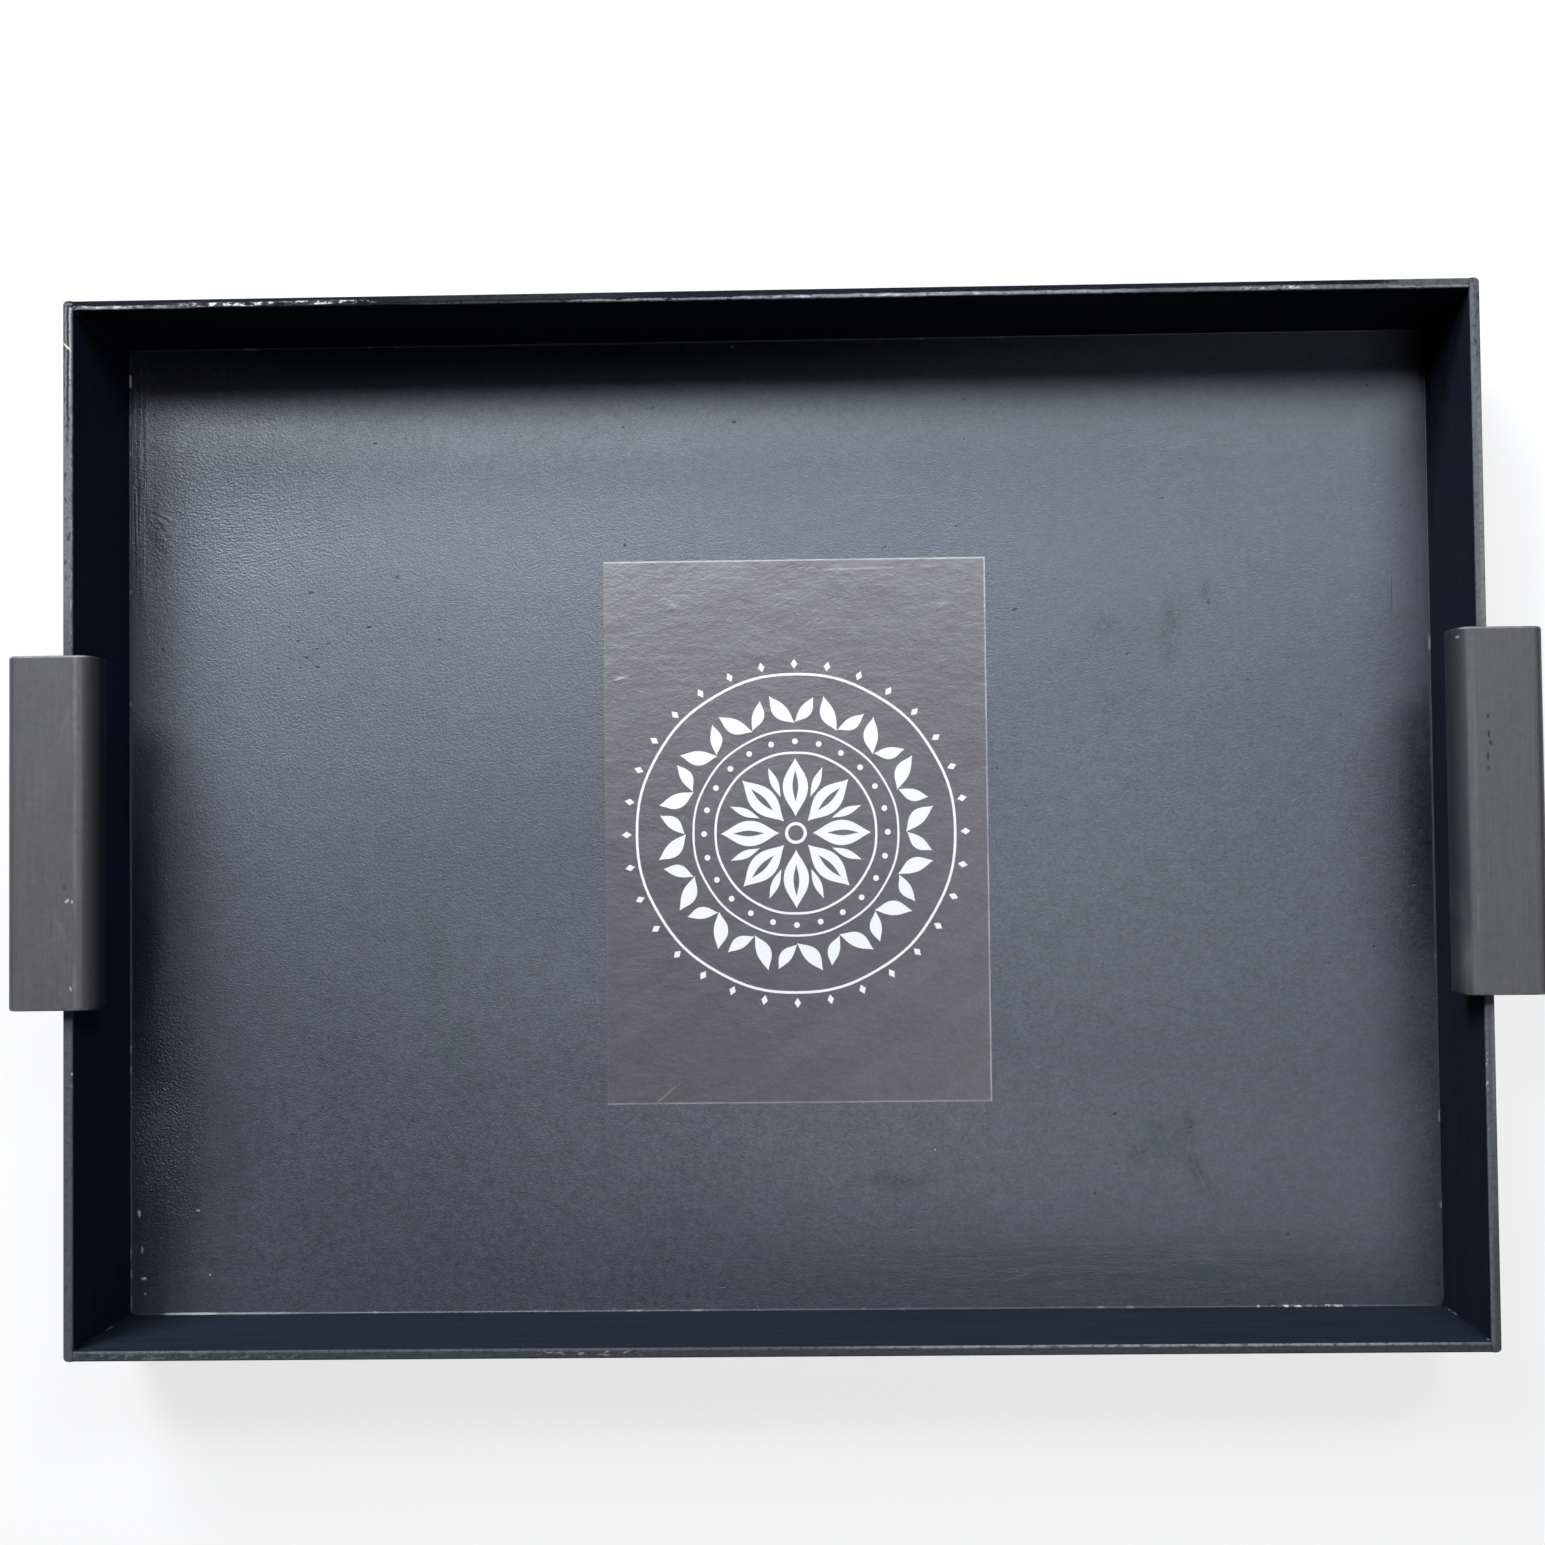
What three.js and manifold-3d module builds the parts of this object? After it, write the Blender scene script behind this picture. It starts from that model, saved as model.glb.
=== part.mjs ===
// Serving tray of thin painted board: a floor panel tabbed into four finger-jointed
// walls, two grooved wooden handles glued over the end walls, and a clear film on
// the floor. Millimetres, +Z up, origin under the middle of the tray at the surface
// it stands on, +X towards the right handle, +Y towards the back wall.

import * as THREE from 'three';
import { mergeVertices } from 'three/addons/utils/BufferGeometryUtils.js';
import Module from 'manifold-3d';

const wasm = await Module();
wasm.setup();

// Tray carcass
const trayLength = 511; // over the two end walls
const trayWidth = 382; // over the front and back walls
const trayHeight = 50;
const boardThickness = 3.5; // board with its primer and paint
const glueLine = 0.2; // space left between glued faces
const rimSoftening = 0.6; // radius sanded on the long edges of the rim
const cornerRadius = 2; // radius sanded on the four upright corners

// Corner fingers and floor tabs
const fingerHeight = 10; // nominal, rounded to an odd number of equal fingers
const tabLength = 40;
const tabPitch = 98; // nominal, rounded to a whole number of tabs on each side

// Handles: each is one bar with a groove that sits over the rim of an end wall
const leftHandleLength = 127; // the two bars were cut by hand
const rightHandleLength = 130;
const handleWidth = 31;
const handleThickness = 14;
const handleRise = 5.5; // top of the bar above the rim
const handleInboard = 9; // reach of the bar inside the end wall
const handleTopRadius = 5; // long upper edges, rounded for the hand
const handleUnderRadius = 1.5;
const handleEndSoftening = 0.8;
const leftHandleShift = -2; // the left bar is glued a little towards the front
const rightHandleShift = 0;

// Clear film stuck to the floor, placed by hand a little off centre
const filmWidth = 148;
const filmLength = 210;
const filmThickness = 0.3;
const filmOffsetX = 7.2;
const filmOffsetY = -3.3;

// Working values
const cutMargin = 5; // how far a cutter runs past the face that it opens
const arcSegments = 10; // straight steps in each rounded edge
const mergeTolerance = 1e-4;

const insideLength = trayLength - 2 * boardThickness;
const insideWidth = trayWidth - 2 * boardThickness;
const fingerCount = 2 * Math.floor(trayHeight / fingerHeight / 2) + 1;
const fingerStep = trayHeight / fingerCount;

function toSolid(geometry) {
  const bare = geometry.clone();
  bare.deleteAttribute('normal');
  bare.deleteAttribute('uv');
  const merged = mergeVertices(bare, mergeTolerance);
  return new wasm.Manifold(new wasm.Mesh({
    numProp: 3,
    vertProperties: Float32Array.from(merged.attributes.position.array),
    triVerts: Uint32Array.from(merged.index.array),
  }));
}

function toGeometry(solid) {
  const { vertProperties, triVerts } = solid.getMesh();
  const geometry = new THREE.BufferGeometry();
  geometry.setAttribute('position', new THREE.BufferAttribute(vertProperties, 3));
  geometry.setIndex(new THREE.BufferAttribute(triVerts, 1));
  geometry.computeVertexNormals();
  return geometry;
}

// A plain block between two corners, used as a cutter.
function block(low, high) {
  const size = high.clone().sub(low);
  const geometry = new THREE.BoxGeometry(size.x, size.y, size.z);
  geometry.translate(low.x + size.x / 2, low.y + size.y / 2, low.z + size.z / 2);
  return toSolid(geometry);
}

// Lays a section drawn across (Y, Z) along X, centred on X = 0.
function extrudeAlongX(section, length, options = {}) {
  const geometry = new THREE.ExtrudeGeometry(section, {
    depth: length,
    bevelEnabled: false,
    curveSegments: arcSegments,
    ...options,
  });
  const toRow = new THREE.Matrix4().makeBasis(
    new THREE.Vector3(0, 1, 0),
    new THREE.Vector3(0, 0, 1),
    new THREE.Vector3(1, 0, 0),
  );
  geometry.applyMatrix4(toRow);
  geometry.translate(-length / 2, 0, 0);
  return geometry;
}

function extrudeUp(outline, height) {
  return new THREE.ExtrudeGeometry(outline, {
    depth: height,
    bevelEnabled: false,
    curveSegments: arcSegments,
  });
}

// Centres of the floor tabs along one side, evenly spaced between the walls.
function tabCentres(insideSpan) {
  const count = Math.max(1, Math.round(insideSpan / tabPitch));
  const pitch = insideSpan / count;
  return Array.from({ length: count }, (_, index) => (index + 0.5) * pitch - insideSpan / 2);
}

// Section of a wall: outer face at 0, inner face at the board's thickness, and both
// upper edges softened.
function wallSection() {
  const inner = boardThickness;
  const rim = trayHeight;
  const soft = rimSoftening;
  const section = new THREE.Shape();
  section.moveTo(0, 0);
  section.lineTo(inner, 0);
  section.lineTo(inner, rim - soft);
  section.absarc(inner - soft, rim - soft, soft, 0, Math.PI / 2, false);
  section.lineTo(soft, rim);
  section.absarc(soft, rim - soft, soft, Math.PI / 2, Math.PI, false);
  section.closePath();
  return section;
}

// Plan of a wall, whose two outer corners carry the tray's upright radius.
function wallPlan(length) {
  const end = length / 2;
  const back = boardThickness + cutMargin;
  const plan = new THREE.Shape();
  plan.moveTo(-end + cornerRadius, 0);
  plan.lineTo(end - cornerRadius, 0);
  plan.absarc(end - cornerRadius, cornerRadius, cornerRadius, -Math.PI / 2, 0, false);
  plan.lineTo(end, back);
  plan.lineTo(-end, back);
  plan.lineTo(-end, cornerRadius);
  plan.absarc(-end + cornerRadius, cornerRadius, cornerRadius, Math.PI, 1.5 * Math.PI, false);
  plan.closePath();
  return plan;
}

// The spaces at both ends of a wall that the fingers of the crossing walls fill.
function fingerSlots(length, firstSlot) {
  const root = length / 2 - boardThickness - glueLine;
  const tip = length / 2 + cutMargin;
  const slots = [];
  for (let index = firstSlot; index < fingerCount; index += 2) {
    const isLowest = index === 0;
    const isHighest = index === fingerCount - 1;
    const low = index * fingerStep - (isLowest ? cutMargin : glueLine / 2);
    const high = (index + 1) * fingerStep + (isHighest ? cutMargin : glueLine / 2);
    for (const [from, to] of [[root, tip], [-tip, -root]]) {
      slots.push(block(
        new THREE.Vector3(from, -cutMargin, low),
        new THREE.Vector3(to, boardThickness + cutMargin, high),
      ));
    }
  }
  return slots;
}

// Notches in the lower edge of a wall for the tabs of the floor panel.
function tabNotches(insideSpan) {
  const halfNotch = tabLength / 2 + glueLine;
  return tabCentres(insideSpan).map((centre) => block(
    new THREE.Vector3(centre - halfNotch, -cutMargin, -cutMargin),
    new THREE.Vector3(centre + halfNotch, boardThickness + cutMargin, boardThickness + glueLine),
  ));
}

// One wall in its own frame: X along it, Y from its outer to its inner face.
function wallGeometry(length, insideSpan, firstSlot) {
  const section = toSolid(extrudeAlongX(wallSection(), length + 2 * cutMargin));
  const plan = toSolid(extrudeUp(wallPlan(length), trayHeight + cutMargin).translate(0, 0, -cutMargin / 2));
  let wall = section.intersect(plan);
  for (const cutter of [...fingerSlots(length, firstSlot), ...tabNotches(insideSpan)]) {
    wall = wall.subtract(cutter);
  }
  return toGeometry(wall);
}

// The end walls own the lowest and the highest fingers, so they show at the corners
// of the rim; the long walls fill the fingers between.
const endWallGeometry = () => wallGeometry(trayWidth, insideWidth, 1);
const longWallGeometry = () => wallGeometry(trayLength, insideLength, 0);

// Adds one side of the floor outline, from corner to corner, with its tabs. The side
// runs along the unit vector `along`; `out` points from the floor into the wall.
function addTabbedSide(points, along, out, insideSpan, insideDepth) {
  const flush = insideDepth / 2 - glueLine;
  const proud = insideDepth / 2 + boardThickness;
  const place = (run, reach) => along.clone().multiplyScalar(run).addScaledVector(out, reach);
  points.push(place(-insideSpan / 2 + glueLine, flush));
  for (const centre of tabCentres(insideSpan)) {
    const start = centre - tabLength / 2;
    const stop = centre + tabLength / 2;
    points.push(place(start, flush), place(start, proud), place(stop, proud), place(stop, flush));
  }
}

function floorGeometry() {
  const right = new THREE.Vector2(1, 0);
  const back = new THREE.Vector2(0, 1);
  const left = new THREE.Vector2(-1, 0);
  const front = new THREE.Vector2(0, -1);
  const points = [];
  addTabbedSide(points, right, front, insideLength, insideWidth);
  addTabbedSide(points, back, right, insideWidth, insideLength);
  addTabbedSide(points, left, back, insideLength, insideWidth);
  addTabbedSide(points, front, left, insideWidth, insideLength);
  return extrudeUp(new THREE.Shape(points), boardThickness);
}

// Section of a handle across the end wall: 0 is the middle of the wall's thickness,
// positive is outwards, and height is counted from the rim.
function handleSection() {
  const inner = -boardThickness / 2 - handleInboard;
  const outer = inner + handleWidth;
  const top = handleRise;
  const under = handleRise - handleThickness;
  const grooveHalf = boardThickness / 2 + glueLine;
  const upper = handleTopRadius;
  const lower = handleUnderRadius;
  const section = new THREE.Shape();
  section.moveTo(inner + lower, under);
  section.lineTo(-grooveHalf, under);
  section.lineTo(-grooveHalf, glueLine);
  section.lineTo(grooveHalf, glueLine);
  section.lineTo(grooveHalf, under);
  section.lineTo(outer - lower, under);
  section.absarc(outer - lower, under + lower, lower, -Math.PI / 2, 0, false);
  section.lineTo(outer, top - upper);
  section.absarc(outer - upper, top - upper, upper, 0, Math.PI / 2, false);
  section.lineTo(inner + upper, top);
  section.absarc(inner + upper, top - upper, upper, Math.PI / 2, Math.PI, false);
  section.lineTo(inner, under + lower);
  section.absarc(inner + lower, under + lower, lower, Math.PI, 1.5 * Math.PI, false);
  return section;
}

// The bar lies along X here and is turned with its end wall when it is placed. Its
// outward side faces -Y, as the outer face of a wall does.
function handleGeometry(length) {
  const soft = handleEndSoftening;
  const geometry = extrudeAlongX(handleSection(), length - 2 * soft, {
    bevelEnabled: true,
    bevelThickness: soft,
    bevelSize: soft,
    bevelOffset: -soft,
    bevelSegments: 2,
  });
  geometry.rotateZ(Math.PI);
  geometry.translate(0, boardThickness / 2, trayHeight);
  return geometry;
}

function filmGeometry() {
  const half = { x: filmWidth / 2, y: filmLength / 2 };
  const outline = new THREE.Shape();
  outline.moveTo(-half.x, -half.y);
  outline.lineTo(half.x, -half.y);
  outline.lineTo(half.x, half.y);
  outline.lineTo(-half.x, half.y);
  outline.closePath();
  return extrudeUp(outline, filmThickness);
}

const boardPaint = () => new THREE.MeshStandardMaterial({
  color: '#575b66',
  roughness: 0.5,
  metalness: 0,
});

const handlePaint = () => new THREE.MeshStandardMaterial({
  color: '#65666a',
  roughness: 0.55,
  metalness: 0,
});

const clearFilm = () => new THREE.MeshStandardMaterial({
  color: '#a3a2a8',
  roughness: 0.25,
  metalness: 0,
  transparent: true,
  opacity: 0.35,
});

function addPiece(parent, name, geometry, material) {
  const piece = new THREE.Mesh(geometry, material);
  piece.name = name;
  parent.add(piece);
  return piece;
}

// A group whose origin lies on the outer face of one side of the tray, with +X along
// that side and +Y pointing in.
function sideGroup(tray, turn, x, y) {
  const side = new THREE.Group();
  side.position.set(x, y, 0);
  side.rotation.z = turn;
  tray.add(side);
  return side;
}

const tray = new THREE.Group();

addPiece(tray, 'floor_panel', floorGeometry(), boardPaint());

const frontSide = sideGroup(tray, 0, 0, -trayWidth / 2);
addPiece(frontSide, 'front_wall', longWallGeometry(), boardPaint());

const backSide = sideGroup(tray, Math.PI, 0, trayWidth / 2);
addPiece(backSide, 'back_wall', longWallGeometry(), boardPaint());

const rightSide = sideGroup(tray, Math.PI / 2, trayLength / 2, 0);
addPiece(rightSide, 'right_wall', endWallGeometry(), boardPaint());
const rightHandle = addPiece(rightSide, 'right_handle', handleGeometry(rightHandleLength), handlePaint());
rightHandle.position.x = rightHandleShift;

const leftSide = sideGroup(tray, -Math.PI / 2, -trayLength / 2, 0);
addPiece(leftSide, 'left_wall', endWallGeometry(), boardPaint());
const leftHandle = addPiece(leftSide, 'left_handle', handleGeometry(leftHandleLength), handlePaint());
leftHandle.position.x = -leftHandleShift;

const film = addPiece(tray, 'clear_film', filmGeometry(), clearFilm());
film.position.set(filmOffsetX, filmOffsetY, boardThickness);

export default tray;
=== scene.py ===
import math

import bpy
from mathutils import Matrix, Vector


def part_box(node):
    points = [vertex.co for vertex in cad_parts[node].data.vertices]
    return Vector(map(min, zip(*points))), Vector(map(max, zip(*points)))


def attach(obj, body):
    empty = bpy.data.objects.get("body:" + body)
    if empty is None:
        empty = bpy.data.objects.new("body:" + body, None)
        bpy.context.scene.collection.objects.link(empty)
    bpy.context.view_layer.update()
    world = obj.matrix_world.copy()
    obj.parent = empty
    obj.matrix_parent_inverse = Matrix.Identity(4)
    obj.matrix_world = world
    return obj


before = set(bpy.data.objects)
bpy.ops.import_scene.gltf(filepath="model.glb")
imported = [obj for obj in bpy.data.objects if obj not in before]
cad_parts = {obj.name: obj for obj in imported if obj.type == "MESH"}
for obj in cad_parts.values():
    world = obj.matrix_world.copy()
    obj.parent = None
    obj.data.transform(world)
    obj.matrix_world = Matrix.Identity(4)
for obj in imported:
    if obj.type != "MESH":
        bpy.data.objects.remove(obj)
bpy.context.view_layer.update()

board = 0.0035  # how thick the walls and the floor are
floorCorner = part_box("floor_panel")[1]
floorTop = floorCorner.z
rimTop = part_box("left_wall")[1].z
insideHalf = Vector((floorCorner.x - board, floorCorner.y - board))
print("frame loaded:", len(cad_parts), "nodes")


# Camera

cameraView = {
    "place": (0.02893, -0.01316, 0.62156),
    "turn": (1.344, 0.886, -0.657),  # degrees
    "lens": 37.28,
    "sensor": 36.0,
    "shift": (-0.0362, 0.0291),
    "nearest": 0.01,
}


def makeCamera(look):
    turn = [math.radians(angle) for angle in look["turn"]]
    bpy.ops.object.camera_add(location=look["place"], rotation=turn)
    camera = bpy.context.object
    camera.name = "tray_camera"
    camera.data.lens = look["lens"]
    camera.data.sensor_width = look["sensor"]
    camera.data.shift_x, camera.data.shift_y = look["shift"]
    camera.data.clip_start = look["nearest"]
    bpy.context.scene.camera = camera


makeCamera(cameraView)
print("camera placed")


# Small helpers for meshes

def selectOnly(piece):
    bpy.ops.object.select_all(action="DESELECT")
    piece.select_set(True)
    bpy.context.view_layer.objects.active = piece


def bakePlace(piece):
    selectOnly(piece)
    bpy.ops.object.transform_apply(location=True, rotation=True, scale=True)


def joinPieces(pieces, name):
    selectOnly(pieces[0])
    for piece in pieces:
        piece.select_set(True)
    bpy.ops.object.join()
    pieces[0].name = name
    pieces[0].data.name = name
    return pieces[0]


def dress(piece, material):
    piece.data.materials.clear()
    piece.data.materials.append(material)
    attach(piece, "root")


def paintNode(name, material):
    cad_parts[name].material_slots[0].material = material


# Small helpers for shader trees, which find their tree through the sockets that they are given

def nodeBeside(kind, *values):
    socket = next(value for value in values if isinstance(value, bpy.types.NodeSocket))
    return socket.id_data.nodes.new("ShaderNode" + kind)


def plug(socket, value):
    if isinstance(value, bpy.types.NodeSocket):
        socket.id_data.links.new(value, socket)
    else:
        socket.default_value = value


def plugAll(node, values):
    for index, value in enumerate(values):
        plug(node.inputs[index], value)


def calc(operation, *values, clamp=False):
    node = nodeBeside("Math", *values)
    node.operation = operation
    node.use_clamp = clamp
    plugAll(node, values)
    return node.outputs[0]


def product(result, *values):
    for value in values:
        result = calc("MULTIPLY", result, value)
    return result


def strongest(result, *values):
    for value in values:
        result = calc("MAXIMUM", result, value)
    return result


def addShare(value, part, share):
    return calc("ADD", value, calc("MULTIPLY", part, share))


def addShares(value, parts, shares):
    # Adds every named part in its share
    for name, share in shares.items():
        value = addShare(value, parts[name], share)
    return value


def vectorCalc(operation, *values, result="Vector"):
    node = nodeBeside("VectorMath", *values)
    node.operation = operation
    plugAll(node, values)
    return node.outputs[result]


def turnedBy(vector, angle):
    node = nodeBeside("VectorRotate", vector)
    node.rotation_type = "Z_AXIS"
    plug(node.inputs["Vector"], vector)
    plug(node.inputs["Angle"], angle)
    return node.outputs["Vector"]


def axes(vector):
    node = nodeBeside("SeparateXYZ", vector)
    plug(node.inputs[0], vector)
    return node.outputs[0], node.outputs[1], node.outputs[2]


def smoothStep(value, low, high):
    node = nodeBeside("MapRange", value)
    node.interpolation_type = "SMOOTHSTEP"
    plug(node.inputs["Value"], value)
    plug(node.inputs["From Min"], low)
    plug(node.inputs["From Max"], high)
    return node.outputs["Result"]


def fadeOut(value, low, high):
    return calc("SUBTRACT", 1.0, smoothStep(value, low, high))


def spread(value, low, high):
    node = nodeBeside("MapRange", value)
    plug(node.inputs["Value"], value)
    plug(node.inputs["To Min"], low)
    plug(node.inputs["To Max"], high)
    return node.outputs["Result"]


def around(value, reach):
    return spread(value, -reach, reach)


def noiseOf(vector, scale, detail=2.0, roughness=0.5, stretch=None):
    if stretch:
        vector = vectorCalc("MULTIPLY", vector, stretch)
    node = nodeBeside("TexNoise", vector)
    plug(node.inputs["Vector"], vector)
    plug(node.inputs["Scale"], scale)
    node.inputs["Detail"].default_value = detail
    node.inputs["Roughness"].default_value = roughness
    return node.outputs["Fac"]


def cutNoise(vector, recipe):
    # A noise cut between two levels: the recipe is what noiseOf takes, then the two levels
    return smoothStep(noiseOf(vector, *recipe[:4]), *recipe[4:])


def mixColour(share, first, second, mode="MIX"):
    node = nodeBeside("Mix", share, first, second)
    node.data_type = "RGBA"
    node.blend_type = mode
    plug(node.inputs[0], share)
    for socket, colour in ((node.inputs[6], first), (node.inputs[7], second)):
        plug(socket, colour if isinstance(colour, bpy.types.NodeSocket) else (*colour, 1))
    return node.outputs[2]


def shaded(colour, shade):
    return mixColour(1.0, colour, shade, mode="MULTIPLY")


def mixShaders(share, first, second):
    node = nodeBeside("MixShader", first)
    plugAll(node, (share, first, second))
    return node.outputs[0]


def newGroup(name, vectors, numbers, results):
    # A vector that isn't given counts as (1, 1, 1)
    group = bpy.data.node_groups.new(name, "ShaderNodeTree")
    for label in vectors:
        socket = group.interface.new_socket(label, in_out="INPUT", socket_type="NodeSocketVector")
        socket.default_value = (1, 1, 1)
    for side, labels in (("INPUT", numbers), ("OUTPUT", results)):
        for label in labels:
            group.interface.new_socket(label, in_out=side, socket_type="NodeSocketFloat")
    return group, group.nodes.new("NodeGroupInput").outputs, group.nodes.new("NodeGroupOutput").inputs


def useGroup(group, **values):
    node = nodeBeside("Group", *values.values())
    node.node_tree = group
    for label, value in values.items():
        plug(node.inputs[label], value)
    return node.outputs


def newMaterial(name, gloss=0.5, index=1.5, coatRoughness=None):
    material = bpy.data.materials.new(name)
    material.use_nodes = True
    tree = material.node_tree
    tree.nodes.clear()
    shader = tree.nodes.new("ShaderNodeBsdfPrincipled")
    tree.links.new(shader.outputs[0], tree.nodes.new("ShaderNodeOutputMaterial").inputs[0])
    shader.inputs["Specular IOR Level"].default_value = gloss
    shader.inputs["IOR"].default_value = index
    if coatRoughness is not None:
        shader.inputs["Coat Roughness"].default_value = coatRoughness
    place = tree.nodes.new("ShaderNodeTexCoord").outputs["Object"]
    return material, shader.inputs, place


def raiseSurface(shader, height, distance):
    node = nodeBeside("Bump", height)
    node.inputs["Strength"].default_value = 1.0
    node.inputs["Distance"].default_value = distance
    plug(node.inputs["Height"], height)
    plug(shader["Normal"], node.outputs["Normal"])


# Shared effects

# A noise, here and below, is cells per metre, detail, roughness and stretch, and is cut between
# two levels if they follow. A pair is where an effect starts and ends, or its least and most.
# Bump is the height in metres of a relief of 1
effectLook = {
    "finer": 2.1,  # grains to the width of a pebble
    "cloud": (14.0, 6.0, 0.7),
    "ragged": (2.2, 3.0),  # in cells per radius
    "fleckSizes": (0.4, 1.2),  # smallest and largest, times the size asked for
    "fleckCore": 0.6,
    "rimDepth": (0.0004, 0.0011),  # how far down from the top the rim's paint goes
    "mottle": (2.0, 0.6),  # detail and roughness of every layer
}
# Half the outline at the outer faces, and the thickness and the height of the walls
rimShape = {"Half Length": 0.2555, "Half Width": 0.191, "Board": board, "Top": rimTop}


def makePaintGrain(look):
    # Orange peel of rolled paint: pebbles with a finer grain between them, and a slow cloud
    labels = ["Vector", "Stretch"], ["Cell Size"], ["Height", "Grain", "Cloud"]
    group, given, result = newGroup("paintGrain", *labels)
    drawn = vectorCalc("MULTIPLY", given["Vector"], given["Stretch"])
    perMetre = calc("DIVIDE", 1.0, given["Cell Size"])
    fine = calc("MULTIPLY", perMetre, look["finer"])
    plug(result["Height"], noiseOf(drawn, perMetre, 1.0))
    plug(result["Grain"], noiseOf(given["Vector"], fine, 1.0))
    plug(result["Cloud"], noiseOf(given["Vector"], *look["cloud"]))
    return group


def makeSoftPatch(look):
    # A turned oval that fades out, with a ragged border
    labels = ["Vector", "Centre", "Radius"], ["Turn", "Ragged", "Core"], ["Mask"]
    group, given, result = newGroup("softPatch", *labels)
    away = vectorCalc("SUBTRACT", given["Vector"], given["Centre"])
    turned = turnedBy(away, calc("MULTIPLY", given["Turn"], -1.0))
    share = vectorCalc("DIVIDE", turned, given["Radius"])
    reach = vectorCalc("LENGTH", share, result="Value")
    rough = calc("SUBTRACT", noiseOf(share, *look["ragged"]), 0.5)
    reach = addShare(reach, rough, given["Ragged"])
    plug(result["Mask"], fadeOut(reach, given["Core"], 1.0))
    return group


def makeFlecks(look):
    # Sparse small specks, each in its own cell
    group, given, result = newGroup("flecks", ["Vector"], ["Spacing", "Amount", "Size"], ["Mask"])
    cells = nodeBeside("TexVoronoi", given["Vector"])
    plug(cells.inputs["Vector"], given["Vector"])
    plug(cells.inputs["Scale"], calc("DIVIDE", 1.0, given["Spacing"]))
    draw = nodeBeside("SeparateColor", cells.outputs["Color"])
    plug(draw.inputs[0], cells.outputs["Color"])
    chosen = calc("LESS_THAN", draw.outputs[0], given["Amount"])
    size = product(given["Size"], spread(draw.outputs[1], *look["fleckSizes"]))
    inside = fadeOut(cells.outputs["Distance"], product(size, look["fleckCore"]), size)
    plug(result["Mask"], product(chosen, inside))
    return group


def makeRimShare(look):
    # Where a point lies on the rim: how far in from the outer face, and how near the top
    labels = ["Vector"], ["Half Length", "Half Width", "Board", "Top"], ["Across", "Corner", "Rim"]
    group, given, result = newGroup("rimShare", *labels)
    x, y, z = axes(given["Vector"])
    fromEnd = calc("SUBTRACT", given["Half Length"], calc("ABSOLUTE", x))
    fromSide = calc("SUBTRACT", given["Half Width"], calc("ABSOLUTE", y))
    for label, operation in (("Across", "MINIMUM"), ("Corner", "MAXIMUM")):
        depth = calc(operation, fromEnd, fromSide)
        plug(result[label], calc("DIVIDE", depth, given["Board"]))
    plug(result["Rim"], fadeOut(calc("SUBTRACT", given["Top"], z), *look["rimDepth"]))
    return group


paintGrain = makePaintGrain(effectLook)
softPatch = makeSoftPatch(effectLook)
flecks = makeFlecks(effectLook)
rimShare = makeRimShare(effectLook)


def softSpots(place, spots, face, ragged=0.0, core=0.2):
    # The strongest of several soft patches, each (centre, radius, turn in degrees, strength).
    # The face is (level, reach up and down), and fills in what a centre or a radius leaves out
    level, depth = face
    masks = []
    for centre, radius, turn, strength in spots:
        mask = useGroup(softPatch, Vector=place, Centre=(*centre, level)[:3], Radius=(*radius, depth)[:3],
                        Turn=math.radians(turn), Ragged=ragged, Core=core)["Mask"]
        masks.append(product(mask, strength))
    return strongest(*masks)


def patches(place, look, name, **border):
    return softSpots(place, look[name], look["face"], **border)


def mottled(place, colour, layers):
    # Uneven paint: each layer is (cells per metre, how strongly it lightens and darkens)
    shade = 1.0
    for scale, strength in layers:
        shade = calc("ADD", shade, around(noiseOf(place, scale, *effectLook["mottle"]), strength / 2))
    return shaded(colour, shade)


print("shared effects ready")


# Floor panel

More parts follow.
